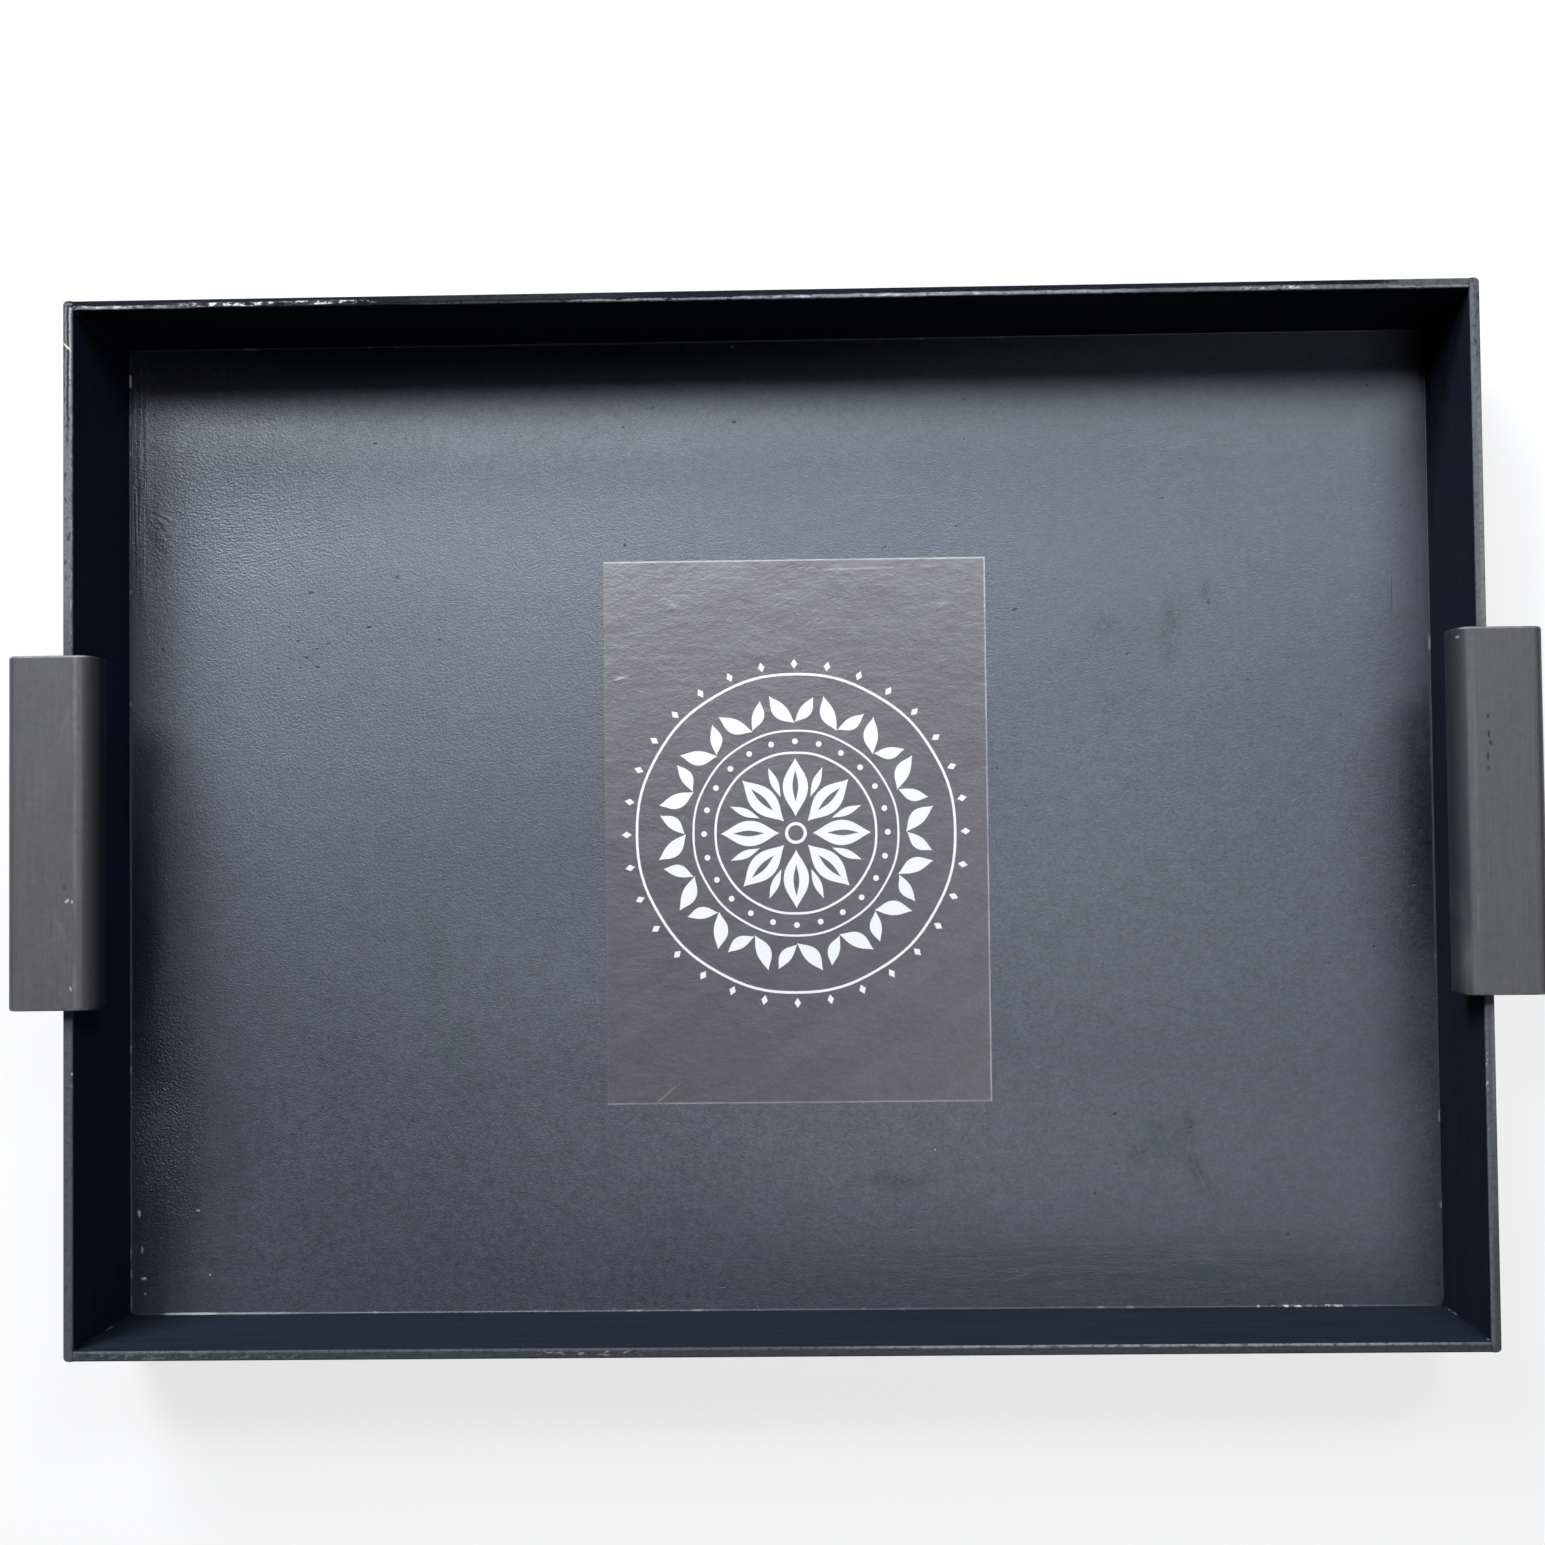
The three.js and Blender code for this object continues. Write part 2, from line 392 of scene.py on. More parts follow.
floorLook = {
    "face": (0.0035, 0.003),
    "paint": (0.033, 0.0338, 0.053),
    "paintWorn": (0.041, 0.042, 0.06),
    "stain": (0.008, 0.0105, 0.017),
    "speck": (0.5, 0.5, 0.52),
    # painted shade: the dark colour laid where shade falls beside the walls and under the handles
    "grime": (0.005, 0.009, 0.022),
    # painted light: paler paint standing in for light and sheen on the floor
    "paintedSheen": (0.13, 0.135, 0.155),
    "tabs": (0.017, 0.022, 0.036),  # the ends of the tabs, painted with the outer faces
    "tabEnds": (0.9, 0.99),  # in thicknesses of the board, in from the outer faces
    "mottle": [(1500.0, 1.5), (560.0, 1.3), (200.0, 0.75)],
    "gloss": 1.0,
    "index": 1.65,
    "sheenTint": (0.943, 0.996, 1.08),
    "roughness": 0.5,
    "cloudDull": 0.05,
    "dullNoise": (330.0, 3.0, 0.7),
    "dullReach": 0.12,
    "dulled": {"stains": 0.14, "worn": 0.35, "grime": -0.2},  # the floor is smoother beside the walls
    "cells": {"Cell Size": 0.00095, "Stretch": (0.9, 1.1, 1)},
    "peelEverywhere": 0.15,
    "peelZones": [
        ((-0.225, 0.14), (0.085, 0.08), 0, 0.85),
        ((-0.18, 0.1), (0.2, 0.22), 0, 0.12),
        ((-0.24, -0.1), (0.024, 0.085), 0, 0.45),
    ],
    "grainEverywhere": 0.18,
    "grainZones": [
        ((-0.19, 0.09), (0.26, 0.28), 0, 0.2),
        ((0.11, 0.11), (0.18, 0.08), 0, 0.25),
        ((-0.24, -0.11), (0.03, 0.09), 0, 0.45),
    ],
    # Painted light: paler patches where paler paint stands in for light and sheen
    "paintedSheenZones": [
        ((-0.205, 0.1575), (0.09, 0.016), 0, 1.0),
        ((-0.13, 0.155), (0.26, 0.026), 0, 0.55),
        ((-0.07, -0.062), (0.13, 0.065), 0, 0.24),
        ((0.11, -0.02), (0.16, 0.15), 0, 0.28),
        ((0.04, -0.118), (0.23, 0.06), 0, 0.32),
    ],
    # Painted shade: where the floor is darkened along the back wall and beside the end walls under the
    # handles
    "paintedShadeZones": [
        ((-0.08, 0.19), (0.3, 0.02), 0, 1.0),
        ((-0.256, -0.045), (0.023, 0.115), 0, 0.9),
        ((0.256, -0.005), (0.02, 0.08), 0, 0.8),
        ((-0.246, -0.12), (0.03, 0.095), 0, 0.55),
    ],
    "drag": (700.0, 4.0, 0.75, (1.2, 0.8, 1), 0.42, 0.54),
    "dragLeaves": (0.15, 1.0),  # how much of a stain stays where it was dragged thin, and elsewhere
    "stains": [
        ((0.1523, 0.0735), (0.0085, 0.021), 0, 1.0),
        ((0.1285, 0.0745), (0.013, 0.0085), 0, 0.9),
        ((0.128, 0.045), (0.012, 0.007), 0, 0.7),
        ((0.166, 0.0877), (0.004, 0.007), 0, 1.0),
        ((0.129, 0.068), (0.04, 0.034), 0, 0.35),
        ((0.147, -0.1225), (0.02, 0.018), 10, 0.55),
        ((0.1366, -0.129), (0.0065, 0.007), 0, 1.0),
        ((0.1564, -0.1183), (0.0045, 0.011), 10, 1.0),
        ((0.16, -0.137), (0.019, 0.004), -64, 1.0),
        ((0.0443, -0.1386), (0.019, 0.0046), -7, 1.0),
        ((-0.16, 0.074), (0.085, 0.05), 0, 0.42),
        ((-0.134, -0.055), (0.013, 0.036), 0, 0.75),
        ((-0.126, -0.086), (0.011, 0.016), 0, 0.75),
        ((-0.196, -0.072), (0.013, 0.024), 0, 0.6),
    ],
    "streaks": (300.0, 4.0, 0.65, (0.13, 1, 1), 0.34, 0.62),
    "streakStain": 0.75,
    "streakZones": [((0.115, -0.173), (0.19, 0.019), 0, 1.0)],
    "marks": [
        ((-0.1831, 0.0659), (0.0013, 0.001), 0, 1.0),
        ((-0.1788, 0.0622), (0.0016, 0.0009), -20, 1.0),
        ((-0.1745, 0.0712), (0.0012, 0.0007), 20, 0.9),
        ((-0.1898, 0.0779), (0.0011, 0.0008), 0, 0.8),
        ((-0.1474, 0.0967), (0.0014, 0.0011), 0, 1.0),
        ((0.1675, 0.0829), (0.0011, 0.0016), 0, 0.8),
        ((0.182, 0.0525), (0.0008, 0.001), 0, 0.8),
        ((0.2379, 0.085), (0.0004, 0.0105), 0, 0.7),
    ],
    "specks": [
        ((-0.2489, -0.1488), (0.0008, 0.0016), 10, 0.8),
        ((-0.2259, -0.1478), (0.001, 0.0006), 0, 0.5),
        ((-0.2477, -0.1627), (0.0006, 0.0018), 0, 0.5),
        ((-0.2472, -0.1738), (0.0014, 0.0007), 0, 1.0),
        ((-0.2466, -0.1796), (0.0006, 0.0006), 0, 0.6),
        ((-0.2213, -0.1725), (0.0006, 0.0006), 0, 0.5),
        ((0.059, -0.1268), (0.0005, 0.0005), 0, 0.6),
        ((0.0898, -0.1755), (0.0088, 0.0003), 17, 0.1),
        ((0.1612, -0.1396), (0.0089, 0.0006), -64, 0.07),
        ((-0.0572, -0.115), (0.006, 0.0008), 40, 0.05),
    ],
    "pits": {"Spacing": 0.012, "Amount": 0.22, "Size": 0.055},
    "dashes": {"Spacing": 0.0036, "Size": 0.17},
    "dashStretch": (0.5, 1.0, 1.0),
    "dashWarp": (420.0, 2.0),
    "dashWarpReach": 0.0026,
    "dashEverywhere": 0.03,
    "dashZones": [
        ((-0.177, 0.074), (0.034, 0.03), 0, 0.95),
        ((-0.16, 0.147), (0.028, 0.018), 0, 0.85),
        ((-0.15, 0.11), (0.08, 0.06), 0, 0.16),
        ((-0.13, -0.04), (0.08, 0.08), 0, 0.12),
        ((0.14, 0.07), (0.05, 0.045), 0, 0.2),
    ],
    "brushed": (800.0, 2.0, 0.5, (1, 0.06, 1)),
    "brushedX": (-0.2475, -0.2425),  # the brush lines end over these, and start over the next
    "brushedY": (0.06, 0.13),
    "wrinkle": (420.0, 1.0, 0.5, (0.3, 1.0, 1)),
    "wrinkleTurn": 28,
    "wrinkles": [((-0.239, 0.117), (0.0075, 0.016), 0, 1.0)],
    "relief": {"lines": 1.3, "wrinkles": 1.8, "pits": -0.25, "specks": 0.5, "streaks": 0.1},
    "bump": 0.0005,
    "scuff": (0.15, 0.15, 0.155),  # rubbed places on the underside
    "underside": (0.0002, 0.0008),
    "rubs": (46.0, 5.0, 0.75, None, 0.56, 0.68),
    "rubbed": 0.3,
    "slides": (420.0, 3.0, 0.6, (0.03, 1, 1), 0.6, 0.7),
    "slid": 0.4,
    "edgeRubs": (1.0, 3.0),  # as for the tabs
    "edgeRubbed": 0.8,
}


def makeFloorPaint(look):
    material, shader, place = newMaterial("floorPaint", look["gloss"], look["index"])
    shader["Specular Tint"].default_value = (*look["sheenTint"], 1)
    x, y, z = axes(place)
    grain = useGroup(paintGrain, Vector=place, **look["cells"])
    edge = useGroup(rimShare, Vector=place, **rimShape)
    tabs = fadeOut(edge["Across"], *look["tabEnds"])
    # Painted shade beside the walls and under the handles
    grime = patches(place, look, "paintedShadeZones", core=0.25)
    specks = patches(place, look, "specks", ragged=0.4, core=0.5)
    drag = cutNoise(place, look["drag"])
    streaks = patches(place, look, "streakZones", ragged=0.5, core=0.1)
    streaks = product(cutNoise(place, look["streaks"]), streaks)
    stains = patches(place, look, "stains", ragged=1.1, core=0.0)
    stains = product(stains, spread(drag, *look["dragLeaves"]))
    stains = strongest(stains, product(streaks, look["streakStain"]))
    # Small dents in the paint: round pits, and dashes dragged along the tray
    warp = product(noiseOf(place, *look["dashWarp"]), look["dashWarpReach"])
    dragged = vectorCalc("MULTIPLY", vectorCalc("ADD", place, warp), look["dashStretch"])
    often = calc("ADD", look["dashEverywhere"], patches(place, look, "dashZones", core=0.0))
    dashes = useGroup(flecks, Vector=dragged, Amount=often, **look["dashes"])["Mask"]
    pits = useGroup(flecks, Vector=place, **look["pits"])["Mask"]
    pits = strongest(pits, dashes, patches(place, look, "marks", ragged=0.5))
    colour = mixColour(grain["Cloud"], look["paint"], look["paintWorn"])
    # Paler patches of painted light and sheen
    colour = mixColour(patches(place, look, "paintedSheenZones", core=0.0), colour, look["paintedSheen"])
    colour = mottled(place, mixColour(grime, colour, look["grime"]), look["mottle"])
    colour = mixColour(strongest(stains, pits), colour, look["stain"])
    colour = mixColour(specks, colour, look["speck"])
    colour = mixColour(tabs, colour, look["tabs"])
    # The underside is rubbed in spots and along its edges
    rubs = product(cutNoise(place, look["rubs"]), look["rubbed"])
    slides = product(cutNoise(place, look["slides"]), look["slid"])
    nearEdge = product(fadeOut(edge["Across"], *look["edgeRubs"]), drag, look["edgeRubbed"])
    scuffs = product(strongest(rubs, slides, nearEdge), fadeOut(z, *look["underside"]))
    plug(shader["Base Color"], mixColour(scuffs, colour, look["scuff"]))
    rough = calc("ADD", look["roughness"], around(grain["Cloud"], look["cloudDull"]))
    rough = calc("ADD", rough, around(noiseOf(place, *look["dullNoise"]), look["dullReach"]))
    dull = {"stains": stains, "worn": strongest(pits, tabs), "grime": grime}
    plug(shader["Roughness"], addShares(rough, dull, look["dulled"]))
    # The peel is heaviest at the back left, where the paint went on thick
    heavy = calc("ADD", look["peelEverywhere"], patches(place, look, "peelZones", core=0.0))
    fine = calc("ADD", look["grainEverywhere"], patches(place, look, "grainZones", core=0.0))
    height = addShare(product(grain["Height"], heavy), grain["Grain"], fine)
    # Brush lines along the left edge, and a wrinkled patch where the paint dragged
    nearLeft = product(fadeOut(x, *look["brushedX"]), smoothStep(y, *look["brushedY"]))
    wrinkles = noiseOf(turnedBy(place, math.radians(look["wrinkleTurn"])), *look["wrinkle"])
    raised = {
        "lines": product(noiseOf(place, *look["brushed"]), nearLeft),
        "wrinkles": product(wrinkles, patches(place, look, "wrinkles", core=0.0)),
        "pits": pits,
        "specks": specks,
        "streaks": streaks,
    }
    height = addShares(height, raised, look["relief"])
    raiseSurface(shader, height, look["bump"])
    return material


paintNode("floor_panel", makeFloorPaint(floorLook))
print("floor painted")


# Walls

wallLook = {
    "face": (0.05, 0.02),
    "outside": (0.027, 0.033, 0.049),
    "outsideWorn": (0.04, 0.046, 0.062),
    "wornBetween": (0.35, 0.65),
    "scuff": (0.15, 0.15, 0.155),
    "scuffBelow": (0.0002, 0.0022),
    "scuffCorner": (0.12, 0.5),
    "scuffBroken": (0.46, 0.58),
    "knocks": (95.0, 4.0, 0.7, None, 0.66, 0.7),
    "knocked": 0.35,
    "insideFrom": (0.3, 0.7),
    "speck": (0.022, 0.024, 0.03),
    "bare": (0.62, 0.61, 0.59),
    "scratches": [],
    "roughness": 0.6,
    "mottleDull": 0.07,
    "gloss": 0.02,
    "cells": {"Cell Size": 0.0016},
    "stroke": (700.0, 3.0, 0.6),
    "strokeDrawn": 0.04,
    "strokeOutside": (0.55, 1.45),
    "strokeInside": (0.6, 1.4),
    "mottle": (560.0, 3.0, 0.65),
    "mottleCut": (0.48, 0.66),
    "mottled": 0.5,
    "broken": (560.0, 3.0, 0.6),
    "brokenDrawn": 0.45,
    "gapSoft": 0.025,
    "waver": (150.0, 3.0, 0.6),
    "waverReach": 0.3,
    "stretchReach": 0.02,
    "relief": {"peel": 0.6, "stroke": 1.0, "rim": 1.6},
    "bump": 0.00012,
}
# The pale strips are partly chipped and worn paint and partly painted highlight where the rim catches the
# light; the dark ones are partly painted shade
# Each strip of a rim: from, to (0 is the outer face, 1 the inner), softness, colour, strength,
# how broken it is (0 is whole), and the stretches that it keeps to, if it doesn't run all along:
# each (middle, half its length, strength)
# Each wall has its own copy of one paint: its inner face and rim tones differ by how the light falls on
# it, the back wall's darkest and the front wall's palest, which is painted shade and light
frontRimLook = {
    **wallLook,
    "runs": "x",
    "middle": -0.189,
    "inside": (0.015, 0.0195, 0.0305),
    "insideWorn": (0.017, 0.0215, 0.033),
    "rim": (0.05, 0.056, 0.068),
    "strips": [
        (-0.2, 0.08, 0.06, (0.03, 0.033, 0.04), 0.9, 0, []),
        (0.2, 0.75, 0.1, (0.15, 0.15, 0.155), 0.7, 0.55, [(-0.215, 0.055, 1.0)]),
        (0.25, 0.9, 0.1, (0.3, 0.265, 0.265), 0.8, 0.57, [(-0.068, 0.022, 1.0)]),
        (0.76, 1.1, 0.06, (0.11, 0.12, 0.135), 0.55, 0, []),
        (0.8, 1.1, 0.05, (0.23, 0.235, 0.245), 0.85, 0.42, [(0.135, 0.13, 1.0), (-0.225, 0.03, 0.3)]),
    ],
}
backRimLook = {
    **wallLook,
    "runs": "x",
    "middle": 0.189,
    "inside": (0.005, 0.007, 0.012),
    "insideWorn": (0.007, 0.009, 0.015),
    "rim": (0.009, 0.011, 0.017),
    "strips": [
        (0.6, 0.94, 0.05, (0.19, 0.205, 0.225), 0.9, 0.38, [(-0.234, 0.03, 1.0)]),
        (0.6, 0.82, 0.05, (0.5, 0.51, 0.53), 0.9, 0.52, [(-0.226, 0.03, 1.0)]),
        (0.34, 0.8, 0.06, (0.055, 0.058, 0.066), 0.9, 0.4, [(-0.185, 0.04, 1.0)]),
        (0.42, 0.76, 0.06, (0.66, 0.67, 0.69), 1.0, 0.53, [(-0.178, 0.04, 1.0)]),
        (0.1, 0.62, 0.08, (0.024, 0.025, 0.03), 0.9, 0.42, [(-0.09, 0.05, 1.0)]),
        (0.8, 1.02, 0.05, (0.06, 0.064, 0.07), 0.9, 0.4, [(-0.095, 0.04, 1.0)]),
        (0.74, 1.02, 0.05, (0.24, 0.245, 0.25), 0.9, 0.42, [(-0.03, 0.05, 1.0)]),
        (0.6, 0.98, 0.06, (0.225, 0.245, 0.265), 1.0, 0.3, [(0.07, 0.085, 1.0)]),
        (0.66, 0.9, 0.05, (0.46, 0.48, 0.5), 0.8, 0.56, [(0.04, 0.06, 1.0)]),
        (0.52, 0.98, 0.08, (0.135, 0.145, 0.16), 1.0, 0.34, [(0.185, 0.055, 1.0)]),
        (0.56, 0.84, 0.05, (0.5, 0.51, 0.53), 0.9, 0.56, [(0.187, 0.02, 1.0)]),
        (0.02, 1.02, 0.05, (0.092, 0.096, 0.102), 1.0, 0.4, [(0.25, 0.034, 1.0)]),
        (0.72, 0.98, 0.05, (0.23, 0.235, 0.24), 0.8, 0.36, [(0.238, 0.02, 1.0)]),
    ],
}
leftRimLook = {
    **wallLook,
    "runs": "y",
    "middle": -0.254,
    "inside": (0.0085, 0.0115, 0.026),
    "insideWorn": (0.011, 0.0145, 0.029),
    "rim": (0.086, 0.092, 0.112),
    "mottled": 0.35,
    "strips": [
        (-0.2, 0.07, 0.06, (0.05, 0.054, 0.064), 0.7, 0, []),
        (0.1, 1.0, 0.1, (0.16, 0.165, 0.172), 1.0, 0.36, [(0.14, 0.085, 1.0)]),
        (0.1, 0.8, 0.1, (0.03, 0.032, 0.04), 0.8, 0.6, [(0.15, 0.08, 1.0)]),
        (0.44, 0.64, 0.05, (0.014, 0.016, 0.022), 0.9, 0.3, [(0.18, 0.05, 1.0)]),
        (-0.2, 0.2, 0.06, (0.04, 0.044, 0.052), 0.9, 0.38, [(0.182, 0.036, 1.0)]),
        (0.7, 0.84, 0.04, (0.36, 0.37, 0.38), 1.0, 0.36, [(0.184, 0.036, 1.0)]),
        (0.8, 1.0, 0.04, (0.25, 0.26, 0.28), 0.7, 0.52, [(0.11, 0.07, 1.0)]),
        (0.8, 1.02, 0.05, (0.55, 0.55, 0.55), 0.9, 0.6, [(-0.08, 0.016, 1.0)]),
    ],
    "scratches": [((-0.2538, 0.1742), (0.003, 0.0005, 0.01), -46, 1.0)],
}
rightRimLook = {
    **wallLook,
    "runs": "y",
    "middle": 0.254,
    "inside": (0.0115, 0.0135, 0.025),
    "insideWorn": (0.014, 0.016, 0.028),
    "rim": (0.096, 0.102, 0.112),
    "mottled": 0.35,
    "strips": [
        (0.0, 0.55, 0.15, (0.17, 0.178, 0.182), 1.0, 0, [(0.105, 0.06, 1.0)]),
        (0.55, 1.1, 0.1, (0.135, 0.142, 0.15), 1.0, 0, [(0.13, 0.09, 1.0)]),
        (0.0, 0.7, 0.1, (0.028, 0.03, 0.036), 0.8, 0.55, [(0.178, 0.022, 1.0)]),
        (0.05, 0.35, 0.1, (0.15, 0.148, 0.145), 0.9, 0, [(-0.085, 0.03, 1.0)]),
        (0.1, 0.6, 0.12, (0.06, 0.062, 0.068), 0.8, 0, [(-0.185, 0.05, 1.0)]),
        (0.8, 1.1, 0.06, (0.12, 0.128, 0.135), 0.8, 0.36, []),
        (-0.2, 0.07, 0.06, (0.045, 0.048, 0.055), 0.8, 0, [(-0.15, 0.07, 1.0)]),
        (0.8, 1.02, 0.05, (0.55, 0.55, 0.55), 0.9, 0.62, [(-0.1, 0.03, 1.0)]),
    ],
}


def drawnOut(look, share):
    # The stretch that draws a pattern out along the wall
    return (share, 1, 1) if look["runs"] == "x" else (1, share, 1)


def alongRim(look, stretches):
    # The stretches of a rim as soft spots
    order = 1 if look["runs"] == "x" else -1
    return [((middle, look["middle"])[::order], (half, look["stretchReach"])[::order], 0, strength)
            for middle, half, strength in stretches]


def makeWallPaint(look, name):
    material, shader, place = newMaterial(name, look["gloss"])
    z = axes(place)[2]
    grain = useGroup(paintGrain, Vector=place, **look["cells"])
    edge = useGroup(rimShare, Vector=place, **rimShape)
    stroke = noiseOf(place, *look["stroke"], drawnOut(look, look["strokeDrawn"]))
    broken = noiseOf(place, *look["broken"], drawnOut(look, look["brokenDrawn"]))
    mottle = noiseOf(place, *look["mottle"])
    waver = calc("SUBTRACT", noiseOf(place, *look["waver"]), 0.5)
    across = addShare(edge["Across"], waver, look["waverReach"])
    rimColour = look["rim"]
    # Strips of chipped and worn paint, with painted highlight along the lit inner arris and painted shade
    # along the outer edge
    for low, high, soft, tone, strength, gap, stretches in look["strips"]:
        mask = product(smoothStep(across, low - soft, low + soft),
                       fadeOut(across, high - soft, high + soft))
        if gap:
            mask = product(mask, smoothStep(broken, gap - look["gapSoft"], gap + look["gapSoft"]))
        if stretches:
            mask = product(mask, softSpots(place, alongRim(look, stretches), look["face"], core=0.55))
        rimColour = mixColour(product(mask, strength), rimColour, tone)
    dulled = product(smoothStep(mottle, *look["mottleCut"]), look["mottled"])
    rimColour = mixColour(dulled, rimColour, look["speck"])
    if look["scratches"]:
        rimColour = mixColour(patches(place, look, "scratches", core=0.3), rimColour, look["bare"])
    # The outside is scuffed along the lower edge and down the outer corners
    worn = smoothStep(grain["Cloud"], *look["wornBetween"])
    outside = mixColour(worn, look["outside"], look["outsideWorn"])
    outside = shaded(outside, spread(stroke, *look["strokeOutside"]))
    scuffs = strongest(fadeOut(z, *look["scuffBelow"]), fadeOut(edge["Corner"], *look["scuffCorner"]))
    scuffs = product(scuffs, smoothStep(broken, *look["scuffBroken"]))
    knocks = product(cutNoise(place, look["knocks"]), look["knocked"])
    outside = mixColour(strongest(scuffs, knocks), outside, look["scuff"])
    # Each wall's own inside tone: painted shade, darker on the walls that get less light
    inside = mixColour(grain["Cloud"], look["inside"], look["insideWorn"])
    inside = shaded(inside, spread(stroke, *look["strokeInside"]))
    colour = mixColour(smoothStep(edge["Across"], *look["insideFrom"]), outside, inside)
    plug(shader["Base Color"], mixColour(edge["Rim"], colour, rimColour))
    plug(shader["Roughness"], calc("ADD", look["roughness"], around(mottle, look["mottleDull"])))
    raised = {"peel": grain["Height"], "stroke": stroke, "rim": product(mottle, edge["Rim"])}
    raiseSurface(shader, addShares(0.0, raised, look["relief"]), look["bump"])
    return material


for nodeName, look in (("front_wall", frontRimLook), ("back_wall", backRimLook),
                       ("left_wall", leftRimLook), ("right_wall", rightRimLook)):
    paintNode(nodeName, makeWallPaint(look, nodeName + "_paint"))
print("walls painted")


# Handles

# The pairs with From in their names are heights
leftHandleLook = {
    "face": (0.0555, 0.02),
    "paint": (0.087, 0.086, 0.09),
    "paintWorn": (0.097, 0.095, 0.098),
    "topFrom": (0.05475, 0.05545),
    # the rounded edges and the side: darker paint, and painted shade as well
    "round": (0.04, 0.039, 0.045),
    "roundFrom": (0.0455, 0.0525),
    "side": (0.009, 0.012, 0.023),
    "rubAndHighlight": (0.15, 0.147, 0.143),
    "pit": (0.01, 0.01, 0.012),
    "chip": (0.45, 0.44, 0.42),
    "roughness": 0.5,
    "cloudDull": 0.05,
    "pitDull": 0.2,
    "gloss": 0.06,
    "coat": 0.7,
    "coatLeast": 0.06,  # of the full coat, on the sides
    "coatFrom": (0.047, 0.0535),
    "coatRoughness": 0.48,
    "cells": {"Cell Size": 0.0009},
    "along": (1100.0, 3.0, 0.6, (1, 0.035, 1)),
    "across": (900.0, 2.0, 0.5, (0.12, 1, 1)),
    "mottle": [(420.0, 0.34), (1500.0, 0.34)],
    "streaks": 0.42,
    "relief": {"peel": 0.5, "along": 0.7, "across": 0.25, "pits": -1.5, "chips": 1.3},
    "bump": 0.00012,
    "outer": (0.0, (0.034, 0.032, 0.04)),  # how strongly painted shade darkens the outer top edge, and its colour
    "outerBetween": (0.2712, 0.273),
    "uneven": (220.0, 4.0, 0.7, None, 0.36, 0.62),
    "ends": (-0.0655, 0.0615),
    "endLine": (0.19, 0.188, 0.186),
    "endWidth": (0.0005, 0.001),
    "endFrom": (0.0525, 0.055),
    "endUneven": (0.25, 1.0),
    "arris": (0.2484, 0.0009),  # where the flat top ends, and half the width of the pale line there, worn paint and painted highlight
    "arrisCore": 0.3,
    "arrisFrom": (0.054, 0.0552),
    "arrisUneven": (0.35, 1.0),
    "arrisWornAndLit": [
        ((-0.2484, 0.045), (0.006, 0.03), 0, 1.0),
        ((-0.2484, -0.005), (0.006, 0.04), 0, 0.7),
        ((-0.2484, -0.056), (0.006, 0.012), 0, 1.0),
    ],
    "rubs": [
        ((-0.2537, -0.036), (0.0025, 0.011), 24, 0.35),
        ((-0.252, 0.037), (0.0016, 0.012), -18, 0.35),
        ((-0.2565, -0.04), (0.006, 0.002), 20, 0.3),
    ],
    "chips": [
        ((-0.2512, -0.0264), (0.0013, 0.0007), 40, 1.0),
        ((-0.2494, -0.0268), (0.0006, 0.0008), 0, 0.9),
        ((-0.2499, -0.0577), (0.0005, 0.0011), 15, 0.8),
    ],
    "pits": [((-0.252, -0.0215), (0.0012, 0.0016), 0, 0.4)],
}
rightHandleLook = {
    **leftHandleLook,
    "paint": (0.089, 0.088, 0.092),
    "paintWorn": (0.098, 0.097, 0.099),
    "round": (0.034, 0.034, 0.039),
    # the side of this handle is paler than the left one's: painted light, as it faces the light
    "side": (0.027, 0.03, 0.047),
    "rubAndHighlight": (0.13, 0.128, 0.126),
    "ends": (-0.065, 0.065),
    "outer": (0.6, (0.034, 0.032, 0.04)),
    "arrisWornAndLit": [((0.2484, 0.0), (0.006, 0.075), 0, 0.8)],
    "rubs": [
        ((0.262, -0.03), (0.006, 0.03), 0, 0.12),
        ((0.2452, -0.052, 0.053), (0.004, 0.016), 0, 0.45),
        ((0.244, -0.035, 0.05), (0.002, 0.012), 10, 0.18),
    ],
    "chips": [((0.2438, 0.0615, 0.05), (0.0006, 0.0007), 0, 0.5)],
    "pits": [
        ((0.2531, 0.0332), (0.0008, 0.0012), 0, 0.8),
        ((0.2533, 0.0268), (0.0006, 0.0018), 0, 0.9),
        ((0.2539, 0.0237), (0.0007, 0.0014), 20, 0.9),
        ((0.2528, 0.0191), (0.0007, 0.0022), 0, 0.8),
        ((0.253, 0.015), (0.0012, 0.0014), 0, 0.5),
    ],
}


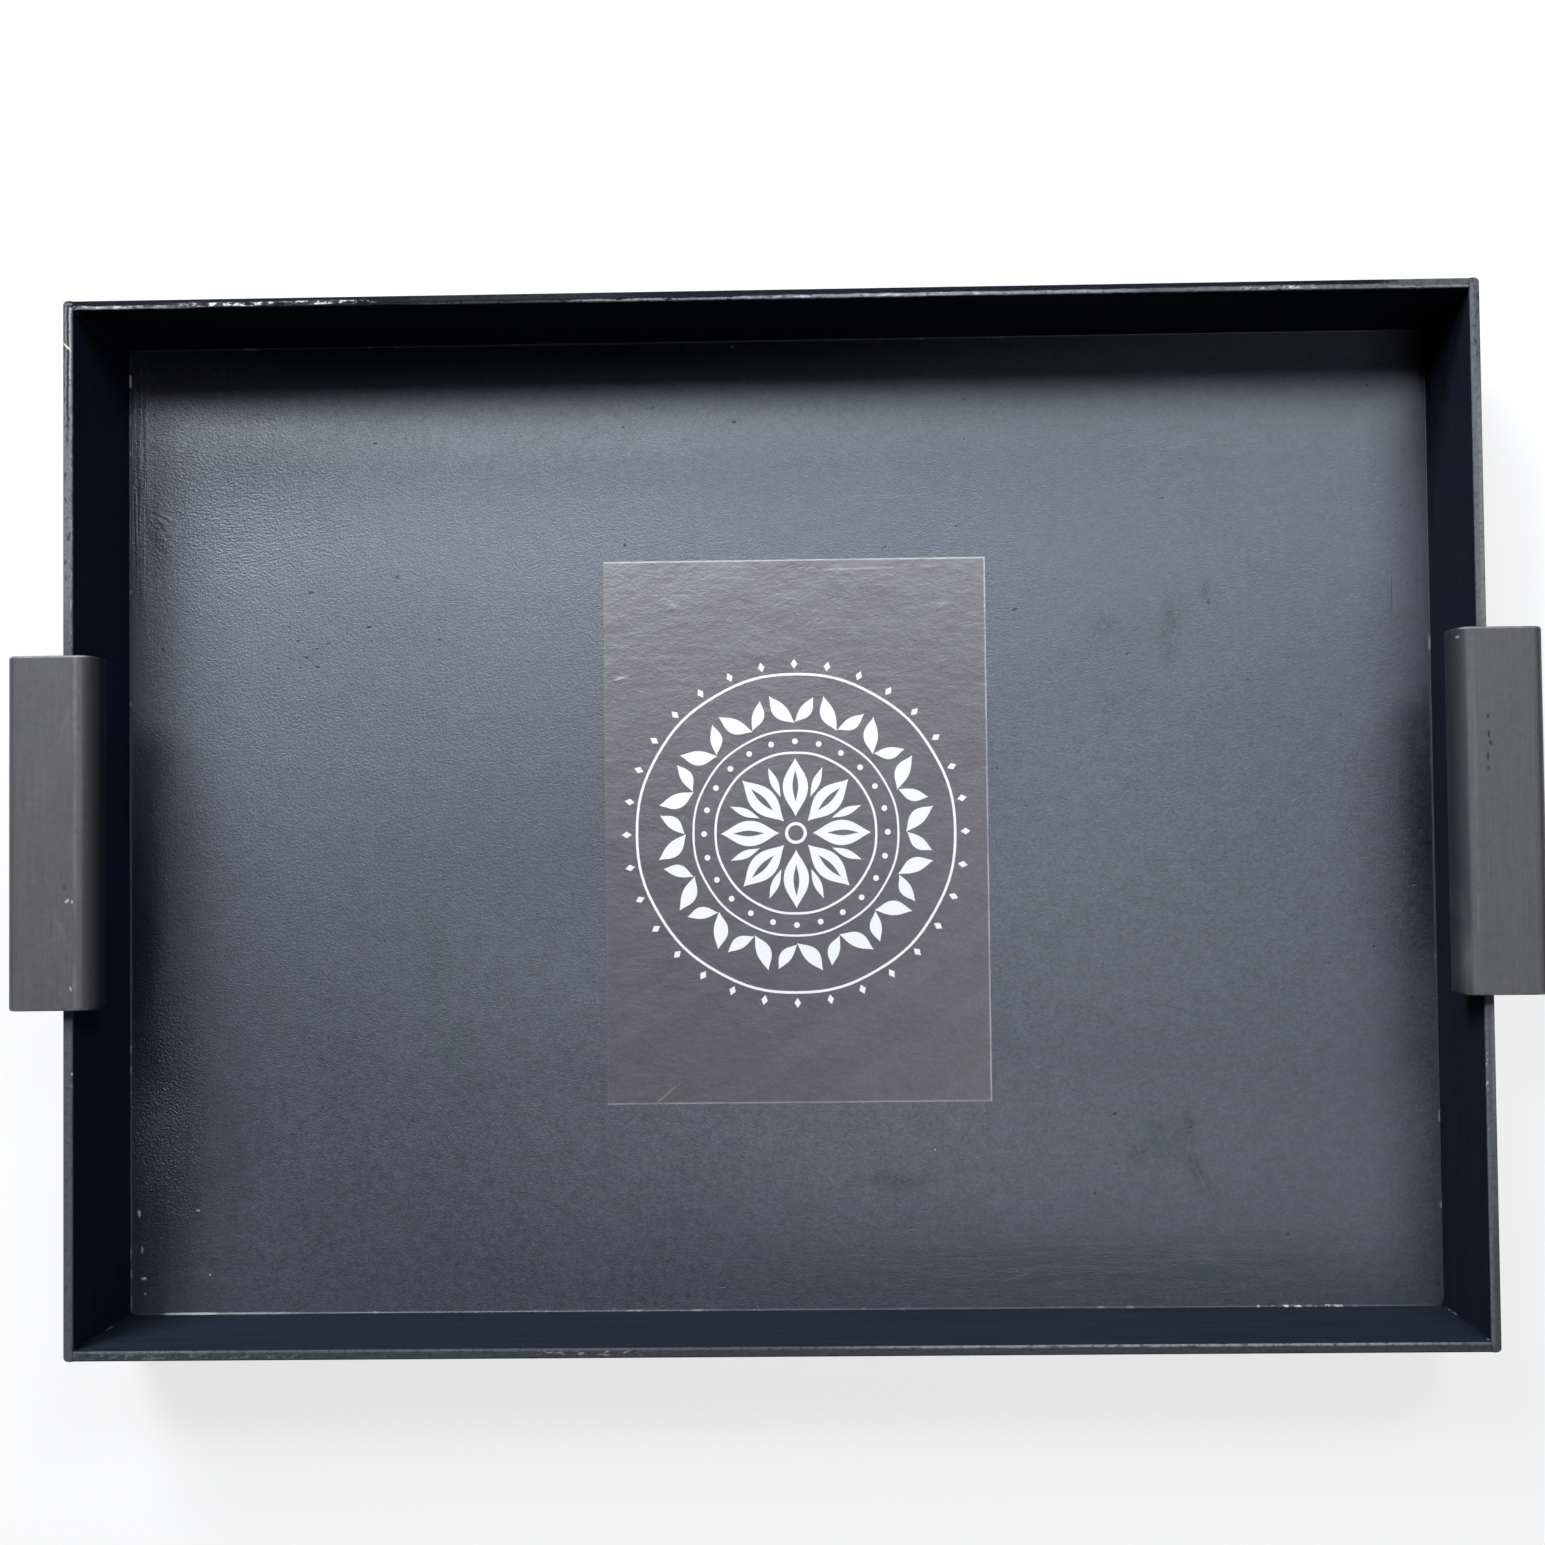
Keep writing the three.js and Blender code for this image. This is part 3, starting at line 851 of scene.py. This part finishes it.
def makeHandlePaint(look, name):
    material, shader, place = newMaterial(name, look["gloss"], coatRoughness=look["coatRoughness"])
    x, y, z = axes(place)
    fromMiddle = calc("ABSOLUTE", x)
    peel = useGroup(paintGrain, Vector=place, **look["cells"])
    along = noiseOf(place, *look["along"])
    across = noiseOf(place, *look["across"])
    rubs = patches(place, look, "rubs", ragged=0.5, core=0.0)
    chips = patches(place, look, "chips", ragged=0.6, core=0.4)
    pits = patches(place, look, "pits", ragged=0.5)
    # The top was painted last: its paler coat thins out over the rounded edges. The darkening down the
    # rounding onto the sides is also painted shade, and the left handle's side is darker than the right's
    # as the light comes from the left
    colour = mixColour(smoothStep(z, *look["roundFrom"]), look["side"], look["round"])
    top = mixColour(peel["Cloud"], look["paint"], look["paintWorn"])
    colour = mixColour(smoothStep(z, *look["topFrom"]), colour, top)
    colour = mottled(place, colour, look["mottle"])
    colour = shaded(colour, spread(along, 1 - look["streaks"] / 2, 1 + look["streaks"] / 2))
    coat = addShare(look["coatLeast"], smoothStep(z, *look["coatFrom"]), 1 - look["coatLeast"])
    plug(shader["Coat Weight"], product(coat, look["coat"]))
    # Paler lines along the inner arris and at the top of both ends: paint worn thin, and painted
    # highlight where these edges catch the light
    where, halfWidth = look["arris"]
    off = calc("ABSOLUTE", calc("SUBTRACT", fromMiddle, where))
    uneven = cutNoise(place, look["uneven"])
    arris = product(fadeOut(off, halfWidth * look["arrisCore"], halfWidth),
                    patches(place, look, "arrisWornAndLit", core=0.4),
                    spread(uneven, *look["arrisUneven"]), smoothStep(z, *look["arrisFrom"]))
    colour = mixColour(strongest(rubs, arris), colour, look["rubAndHighlight"])
    # Painted shade darkens the outer top edge, which faces away from the light
    strength, dark = look["outer"]
    outer = product(smoothStep(fromMiddle, *look["outerBetween"]), strength)
    colour = mixColour(outer, colour, dark)
    low, far = look["ends"]
    fromEnd = calc("SUBTRACT", (far - low) / 2,
                   calc("ABSOLUTE", calc("SUBTRACT", y, (far + low) / 2)))
    endLine = product(fadeOut(fromEnd, *look["endWidth"]), smoothStep(z, *look["endFrom"]),
                      spread(uneven, *look["endUneven"]))
    colour = mixColour(endLine, colour, look["endLine"])
    colour = mixColour(pits, colour, look["pit"])
    plug(shader["Base Color"], mixColour(chips, colour, look["chip"]))
    rough = calc("ADD", look["roughness"], around(peel["Cloud"], look["cloudDull"]))
    plug(shader["Roughness"], addShare(rough, pits, look["pitDull"]))
    raised = {"peel": peel["Height"], "along": along, "across": across, "pits": pits, "chips": chips}
    raiseSurface(shader, addShares(0.0, raised, look["relief"]), look["bump"])
    return material


paintNode("left_handle", makeHandlePaint(leftHandleLook, "leftHandlePaint"))
paintNode("right_handle", makeHandlePaint(rightHandleLook, "rightHandlePaint"))
print("handles painted")


# Clear film

filmLow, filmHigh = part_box("clear_film")
filmLook = {
    "face": (0.0038, 0.01),
    "tint": (0.101, 0.091, 0.101),
    "mottle": [(1100.0, 0.55), (420.0, 0.46), (170.0, 0.34)],
    "roughness": 0.41,
    "haze": (90.0, 4.0, 0.6, (0.5, 1, 1)),
    "hazeDull": 0.05,
    "gloss": 1.0,
    "index": 1.92,
    "cover": 0.75,
    "marksCover": 0.25,
    # pale lines along the border and the fold: partly whitened film, partly painted highlight, so their
    # strength differs from side to side
    "edge": (0.46, 0.45, 0.44),
    "edgeWidth": 0.0007,
    "edgeCore": 0.6,
    "edgeStrength": {"right": 0.75, "back": 0.8, "front": 0.5, "left": 0.04},
    "uneven": (60.0, 3.0, 0.5, None, 0.25, 0.6),
    "edgeUneven": (0.55, 1.0),
    "bubbles": [
        ((-0.0402, 0.0838), (0.004, 0.0022), -35, 0.45),
        ((0.065, 0.083), (0.004, 0.002), 25, 0.3),
        ((-0.06, 0.056), (0.004, 0.0016), 10, 0.4),
    ],
    "bubblesPale": 0.25,
    "folds": [((0.033, 0.0975), (0.024, 0.0009), 1, 0.22)],
    "scratches": [((-0.0448, -0.1052), (0.011, 0.0006), 40, 0.28)],
    "cells": {"Cell Size": 0.0011},
    "waves": (75.0, 2.0, 0.5, (0.5, 1.0, 1)),
    "blotches": (240.0, 3.0, 0.6, (0.6, 1.0, 1)),
    "relief": {"peel": 0.5, "waves": 2.0, "grain": 0.5, "blotches": 1.4, "bubbles": 2.0, "folds": 1.2},
    "bump": 0.00013,
}


def makeClearFilm(look):
    material, shader, place = newMaterial("clearFilm", look["gloss"], look["index"])
    x, y = axes(place)[:2]
    gaps = {"right": (filmHigh.x, x), "left": (x, filmLow.x),
            "back": (filmHigh.y, y), "front": (y, filmLow.y)}
    lines = []
    # Pale border lines: whitened film and painted highlight
    for side, ends in gaps.items():
        line = fadeOut(calc("SUBTRACT", *ends), look["edgeWidth"] * look["edgeCore"], look["edgeWidth"])
        lines.append(product(line, look["edgeStrength"][side]))
    uneven = spread(cutNoise(place, look["uneven"]), *look["edgeUneven"])
    border = product(strongest(*lines), uneven)
    bubbles = patches(place, look, "bubbles", ragged=0.8, core=0.0)
    folds = patches(place, look, "folds", ragged=0.3, core=0.1)
    scratches = patches(place, look, "scratches", ragged=0.2)
    marks = strongest(border, folds, scratches, product(bubbles, look["bubblesPale"]))
    plain = mottled(place, look["tint"], look["mottle"])
    plug(shader["Base Color"], mixColour(marks, plain, look["edge"]))
    haze = around(noiseOf(place, *look["haze"]), look["hazeDull"])
    plug(shader["Roughness"], calc("ADD", look["roughness"], haze))
    # The sheet is see-through, and light reaches the paint under it
    shadow = nodeBeside("LightPath", place).outputs["Is Shadow Ray"]
    cover = calc("ADD", look["cover"], product(marks, look["marksCover"]), clamp=True)
    plug(shader["Alpha"], product(cover, calc("SUBTRACT", 1.0, shadow)))
    # The sheet follows the paint under it, with a few soft waves of its own
    grain = useGroup(paintGrain, Vector=place, **look["cells"])
    raised = {
        "peel": grain["Height"],
        "waves": noiseOf(place, *look["waves"]),
        "grain": grain["Grain"],
        "blotches": noiseOf(place, *look["blotches"]),
        "bubbles": bubbles,
        "folds": folds,
    }
    raiseSurface(shader, addShares(0.0, raised, look["relief"]), look["bump"])
    return material


paintNode("clear_film", makeClearFilm(filmLook))
print("film finished")


# White print on the film

# Every loop of an outline is a list of (x, y, handle kind)
def roundLoop(radius, count=8):
    turns = [2 * math.pi * k / count for k in range(count)]
    return [(radius * math.cos(turn), radius * math.sin(turn), "AUTO") for turn in turns]


def leafLoop(base, length, width, bend=0.0, swell=0.5):
    # A pointed leaf lying along +X from its base, bent sideways
    return [
        (base, 0, "VECTOR"),
        (base + length * swell, bend - width / 2, "AUTO"),
        (base + length, bend * 0.4, "VECTOR"),
        (base + length * swell, bend + width / 2, "AUTO"),
    ]


def diamondLoop(x, y):
    return [(-x, 0, "VECTOR"), (0, -y, "VECTOR"), (x, 0, "VECTOR"), (0, y, "VECTOR")]


printLook = {
    "centre": (0.0069, -0.0044),
    "thickness": 0.00004,
    "curveSteps": 8,
    "mergeWithin": 1e-6,
    "ink": (0.86, 0.86, 0.87),
    "inkWorn": (0.8, 0.8, 0.81),
    "uneven": (260.0, 4.0, 0.6),
    "roughness": (0.4, 0.55),
    "grain": (1500.0, 2.0),
    "bump": 0.00001,
    "ringSides": 12,
    "rings": [(0.0042, 0.003), (0.0315, 0.0306), (0.04, 0.0392), (0.062, 0.061)],  # outer, inner radius
    "motifs": [  # loops, and how many copies, how far out, turned how far, and the first one's angle
        ([leafLoop(0.0065, 0.0225, 0.0098), leafLoop(0.012, 0.0125, 0.0022)], 8, 0.0, 0.0, 0.0),
        ([leafLoop(0.015, 0.0125, 0.003)], 8, 0.0, 0.0, math.pi / 8),
        ([roundLoop(0.0011)], 24, 0.0355, 0.0, 0.0),
        ([leafLoop(0, 0.0145, 0.0056, bend=0.0012)], 16, 0.0425, 0.72, 0.0),
        ([leafLoop(0, 0.012, 0.0046, bend=-0.001)], 16, 0.043, -0.62, 0.0),
        ([diamondLoop(0.0019, 0.0013)], 32, 0.0655, 0.0, 0.0),
    ],
}


def inkShape(look, loops):
    # A flat filled outline, with its inner loops as holes
    bpy.ops.object.select_all(action="DESELECT")
    bpy.ops.curve.primitive_bezier_circle_add(radius=0.001)
    shape = bpy.context.object
    shape.data.dimensions = "2D"
    shape.data.fill_mode = "BOTH"
    shape.data.resolution_u = look["curveSteps"]
    shape.data.extrude = look["thickness"] / 2
    shape.data.splines.clear()
    for loop in loops:
        spline = shape.data.splines.new("BEZIER")
        spline.bezier_points.add(len(loop) - 1)
        spline.use_cyclic_u = True
        for point, (x, y, kind) in zip(spline.bezier_points, loop):
            point.co = (x, y, 0)
            point.handle_left_type = point.handle_right_type = kind
    selectOnly(shape)
    bpy.ops.object.convert(target="MESH")
    bpy.ops.object.mode_set(mode="EDIT")
    bpy.ops.mesh.select_all(action="SELECT")
    bpy.ops.mesh.remove_doubles(threshold=look["mergeWithin"])
    bpy.ops.mesh.normals_make_consistent(inside=False)
    bpy.ops.object.mode_set(mode="OBJECT")
    return bpy.context.object


def placedCopies(motif, count, radius, turn, start):
    # Copies round the centre, each turned in its own place by `turn` and set out at `radius`
    made = []
    for index in range(count):
        copy = motif.copy()
        copy.data = motif.data.copy()
        bpy.context.scene.collection.objects.link(copy)
        angle = start + 2 * math.pi * index / count
        copy.data.transform(Matrix.Rotation(angle, 4, "Z") @ Matrix.Translation((radius, 0, 0))
                            @ Matrix.Rotation(turn, 4, "Z"))
        made.append(copy)
    bpy.data.objects.remove(motif)
    return made


def makePrint(look):
    parts = []
    for radii in look["rings"]:
        parts.append(inkShape(look, [roundLoop(radius, look["ringSides"]) for radius in radii]))
    for loops, *copies in look["motifs"]:
        parts += placedCopies(inkShape(look, loops), *copies)
    ink = joinPieces(parts, "white_print")
    lift = filmHigh.z + look["thickness"] / 2
    ink.data.transform(Matrix.Translation((*look["centre"], lift)))
    ink.matrix_world = Matrix.Identity(4)
    return ink


def makeWhiteInk(look):
    material, shader, place = newMaterial("whiteInk")
    uneven = noiseOf(place, *look["uneven"])
    plug(shader["Base Color"], mixColour(uneven, look["ink"], look["inkWorn"]))
    plug(shader["Roughness"], spread(uneven, *look["roughness"]))
    raiseSurface(shader, noiseOf(place, *look["grain"]), look["bump"])
    return material


dress(makePrint(printLook), makeWhiteInk(printLook))
print("print laid on the film")


# Paint and filler beads in the inner joints

beadLook = {
    "face": (0.004, 0.01),
    "radius": 0.0007,
    "cornerRadius": 0.0006,
    "cornerStop": 0.001,  # how far below the rim's top the corner beads end
    "sides": 10,
    "pieceLength": 0.004,
    "lumps": 0.0005,
    "lumpSize": 0.008,
    "lumpMiddle": 0.55,
    "paint": (0.04, 0.045, 0.06),
    "gloss": 0.5,
    # the corner beads are darker than the joint beads: painted shade in the inner corners
    "cornerShadedPaint": (0.01, 0.013, 0.022),
    "cornerGloss": 0.05,
    "roughness": (0.4, 0.75),
    "cells": {"Cell Size": 0.0012},
    "bump": 0.00006,
    "filler": (0.8, 0.79, 0.77),
    "scattered": (160.0, 3.0, 0.5, None, 0.6, 0.68),
    "scatter": 0.13,
    "broken": (260.0, 3.0, 0.5, None, 0.5, 0.58),
    "brokenFiller": [((0.197, -0.1875), (0.026, 0.004), 0, 0.7)],
    "bareFiller": [
        ((-0.228, -0.1875), (0.013, 0.004), 0, 0.5),
        ((-0.205, -0.1875), (0.02, 0.004), 0, 0.15),
        ((-0.252, 0.1752), (0.002, 0.003), 0, 1.0),
    ],
}


def makeBead(look, name, start, end, radius):
    # A rod along the joint, cut into short lengths and made lumpy
    start, end = Vector(start), Vector(end)
    run = end - start
    bpy.ops.object.select_all(action="DESELECT")
    bpy.ops.mesh.primitive_cylinder_add(vertices=look["sides"], radius=radius, depth=run.length,
                                        location=(start + end) / 2,
                                        rotation=run.to_track_quat("Z", "Y").to_euler())
    bead = bpy.context.object
    bead.name = name
    bakePlace(bead)
    bpy.ops.object.mode_set(mode="EDIT")
    bpy.ops.mesh.select_mode(type="EDGE")
    bpy.ops.mesh.select_all(action="DESELECT")
    bpy.ops.object.mode_set(mode="OBJECT")
    axis = run.normalized()
    for edge in bead.data.edges:
        first, second = (bead.data.vertices[index].co for index in edge.vertices)
        edge.select = abs((second - first).normalized().dot(axis)) > 0.99  # those that run along
    bpy.ops.object.mode_set(mode="EDIT")
    bpy.ops.mesh.subdivide(number_cuts=int(run.length / look["pieceLength"]))
    bpy.ops.object.mode_set(mode="OBJECT")
    lumps = bead.modifiers.new("lumps", "DISPLACE")
    clouds = bpy.data.textures.new(name + "Lumps", "CLOUDS")
    clouds.noise_scale = look["lumpSize"]
    lumps.texture = clouds
    lumps.strength = look["lumps"]
    lumps.mid_level = look["lumpMiddle"]
    selectOnly(bead)
    bpy.ops.object.modifier_apply(modifier="lumps")
    bpy.ops.object.shade_smooth()
    return bead


def makeBeadPaint(look, name, paint, gloss):
    material, shader, place = newMaterial(name, gloss)
    grain = useGroup(paintGrain, Vector=place, **look["cells"])
    broken = product(cutNoise(place, look["broken"]), patches(place, look, "brokenFiller"))
    scattered = product(cutNoise(place, look["scattered"]), look["scatter"])
    bare = strongest(patches(place, look, "bareFiller", ragged=0.5, core=0.6), broken, scattered)
    plug(shader["Base Color"], mixColour(bare, paint, look["filler"]))
    plug(shader["Roughness"], spread(bare, *look["roughness"]))
    raiseSurface(shader, grain["Height"], look["bump"])
    return material


def layBeads(look):
    paint = makeBeadPaint(look, "beadPaint", look["paint"], look["gloss"])
    # The corner beads take a darker copy of the bead paint: painted shade in the inner corners
    cornerShadedPaint = makeBeadPaint(look, "cornerBeadShadedPaint", look["cornerShadedPaint"], look["cornerGloss"])
    halfX, halfY = insideHalf
    corners = [(-halfX, -halfY), (halfX, -halfY), (halfX, halfY), (-halfX, halfY)]
    for side, first, last in (("front", 0, 1), ("back", 3, 2), ("left", 0, 3), ("right", 1, 2)):
        ends = [(*corners[index], floorTop) for index in (first, last)]
        dress(makeBead(look, "bead_" + side, *ends, look["radius"]), paint)
    for index, corner in enumerate(corners):
        ends = [(*corner, height) for height in (floorTop, rimTop - look["cornerStop"])]
        bead = makeBead(look, "bead_corner_" + str(index + 1), *ends, look["cornerRadius"])
        dress(bead, cornerShadedPaint)


layBeads(beadLook)
print("beads laid in the joints")


# Studio

studioLook = {
    "ceiling": 1.2,
    "lights": {  # all face down, turned by an angle in degrees
        "near_light": {"place": (-0.563, 0.894), "size": (0.772, 0.41), "turn": -21.4, "power": 16.8},
        "far_light": {"place": (-0.974, 1.864), "size": (0.866, 0.936), "turn": -8.3, "power": 90.4},
        "side_light": {"place": (0.575, 0.925), "size": (0.896, 0.314), "turn": 40.5, "power": 13.5},
        "fill_light": {"place": (0.576, -0.73), "size": (0.674, 1.204), "turn": -4.4, "power": 3.6},
    },
    "lightColour": (0.97, 1.0, 1.06),
    "sky": 0.004,
    "skyColour": (0.92, 0.97, 1.08),
    "fromBelow": 0.45,  # lights the underside alone, as the floor keeps it off the rest
    "belowFrom": -0.02,
    "paleUpTo": 0.03,  # reflections see white from the horizon up to here, then it fades out
    "darkFrom": 0.2,
    "floorSize": 12,
    "floorDrop": 0.0003,
    "floor": (0.9, 0.9, 0.9),
    "floorRoughness": 0.9,
    "floorLift": 0.75,  # how far the camera sees the floor as plain white
    "closeBy": 0.0012,  # shorter rays pass through the floor
}


def makeAreaLight(name, light, look):
    bpy.ops.object.light_add(type="AREA", location=(*light["place"], look["ceiling"]),
                             rotation=(0, 0, math.radians(light["turn"])))
    lamp = bpy.context.object
    lamp.name = name
    lamp.data.shape = "RECTANGLE"
    lamp.data.size, lamp.data.size_y = light["size"]
    lamp.data.energy = light["power"]
    lamp.data.color = look["lightColour"]


def makeSky(look):
    world = bpy.data.worlds.new("studioSky")
    bpy.context.scene.world = world
    world.use_nodes = True
    tree = world.node_tree
    tree.nodes.clear()
    up = axes(tree.nodes.new("ShaderNodeTexCoord").outputs["Generated"])[2]
    below = product(calc("LESS_THAN", up, look["belowFrom"]), look["fromBelow"])
    light = nodeBeside("Background", up)
    light.inputs["Color"].default_value = (*look["skyColour"], 1)
    plug(light.inputs["Strength"], calc("ADD", below, look["sky"]))
    # The camera sees a white surround; in reflections it fades into a dim ceiling
    path = nodeBeside("LightPath", up).outputs
    pale = strongest(fadeOut(up, look["paleUpTo"], look["darkFrom"]), path["Is Camera Ray"])
    seen = nodeBeside("Background", up)
    seen.inputs["Color"].default_value = (1, 1, 1, 1)
    plug(seen.inputs["Strength"], spread(pale, look["sky"], 1.0))
    shown = strongest(path["Is Camera Ray"], path["Is Glossy Ray"], path["Is Transmission Ray"])
    sky = mixShaders(shown, light.outputs[0], seen.outputs[0])
    plug(nodeBeside("OutputWorld", sky).inputs[0], sky)


def makeFloor(look):
    bpy.ops.object.select_all(action="DESELECT")
    bpy.ops.mesh.primitive_plane_add(size=look["floorSize"], location=(0, 0, -look["floorDrop"]))
    ground = bpy.context.object
    ground.name = "studio_floor"
    bakePlace(ground)
    material, shader, place = newMaterial("studioFloor", gloss=0.0)
    shader["Base Color"].default_value = (*look["floor"], 1)
    shader["Roughness"].default_value = look["floorRoughness"]
    output = next(node for node in place.id_data.nodes if node.type == "OUTPUT_MATERIAL").inputs[0]
    painted = output.links[0].from_socket
    path = nodeBeside("LightPath", place).outputs
    glow = nodeBeside("Emission", place).outputs[0]
    lifted = mixShaders(product(path["Is Camera Ray"], look["floorLift"]), painted, glow)
    # Seen from below, the floor isn't there, nor for light on its way to the underside
    behind = nodeBeside("NewGeometry", place).outputs["Backfacing"]
    gone = strongest(calc("LESS_THAN", path["Ray Length"], look["closeBy"]), behind)
    clear = nodeBeside("BsdfTransparent", place).outputs[0]
    plug(output, mixShaders(gone, lifted, clear))
    ground.data.materials.append(material)


for name, light in studioLook["lights"].items():
    makeAreaLight(name, light, studioLook)
makeSky(studioLook)
makeFloor(studioLook)
bpy.context.scene.view_settings.view_transform = "Standard"
print("studio lit")
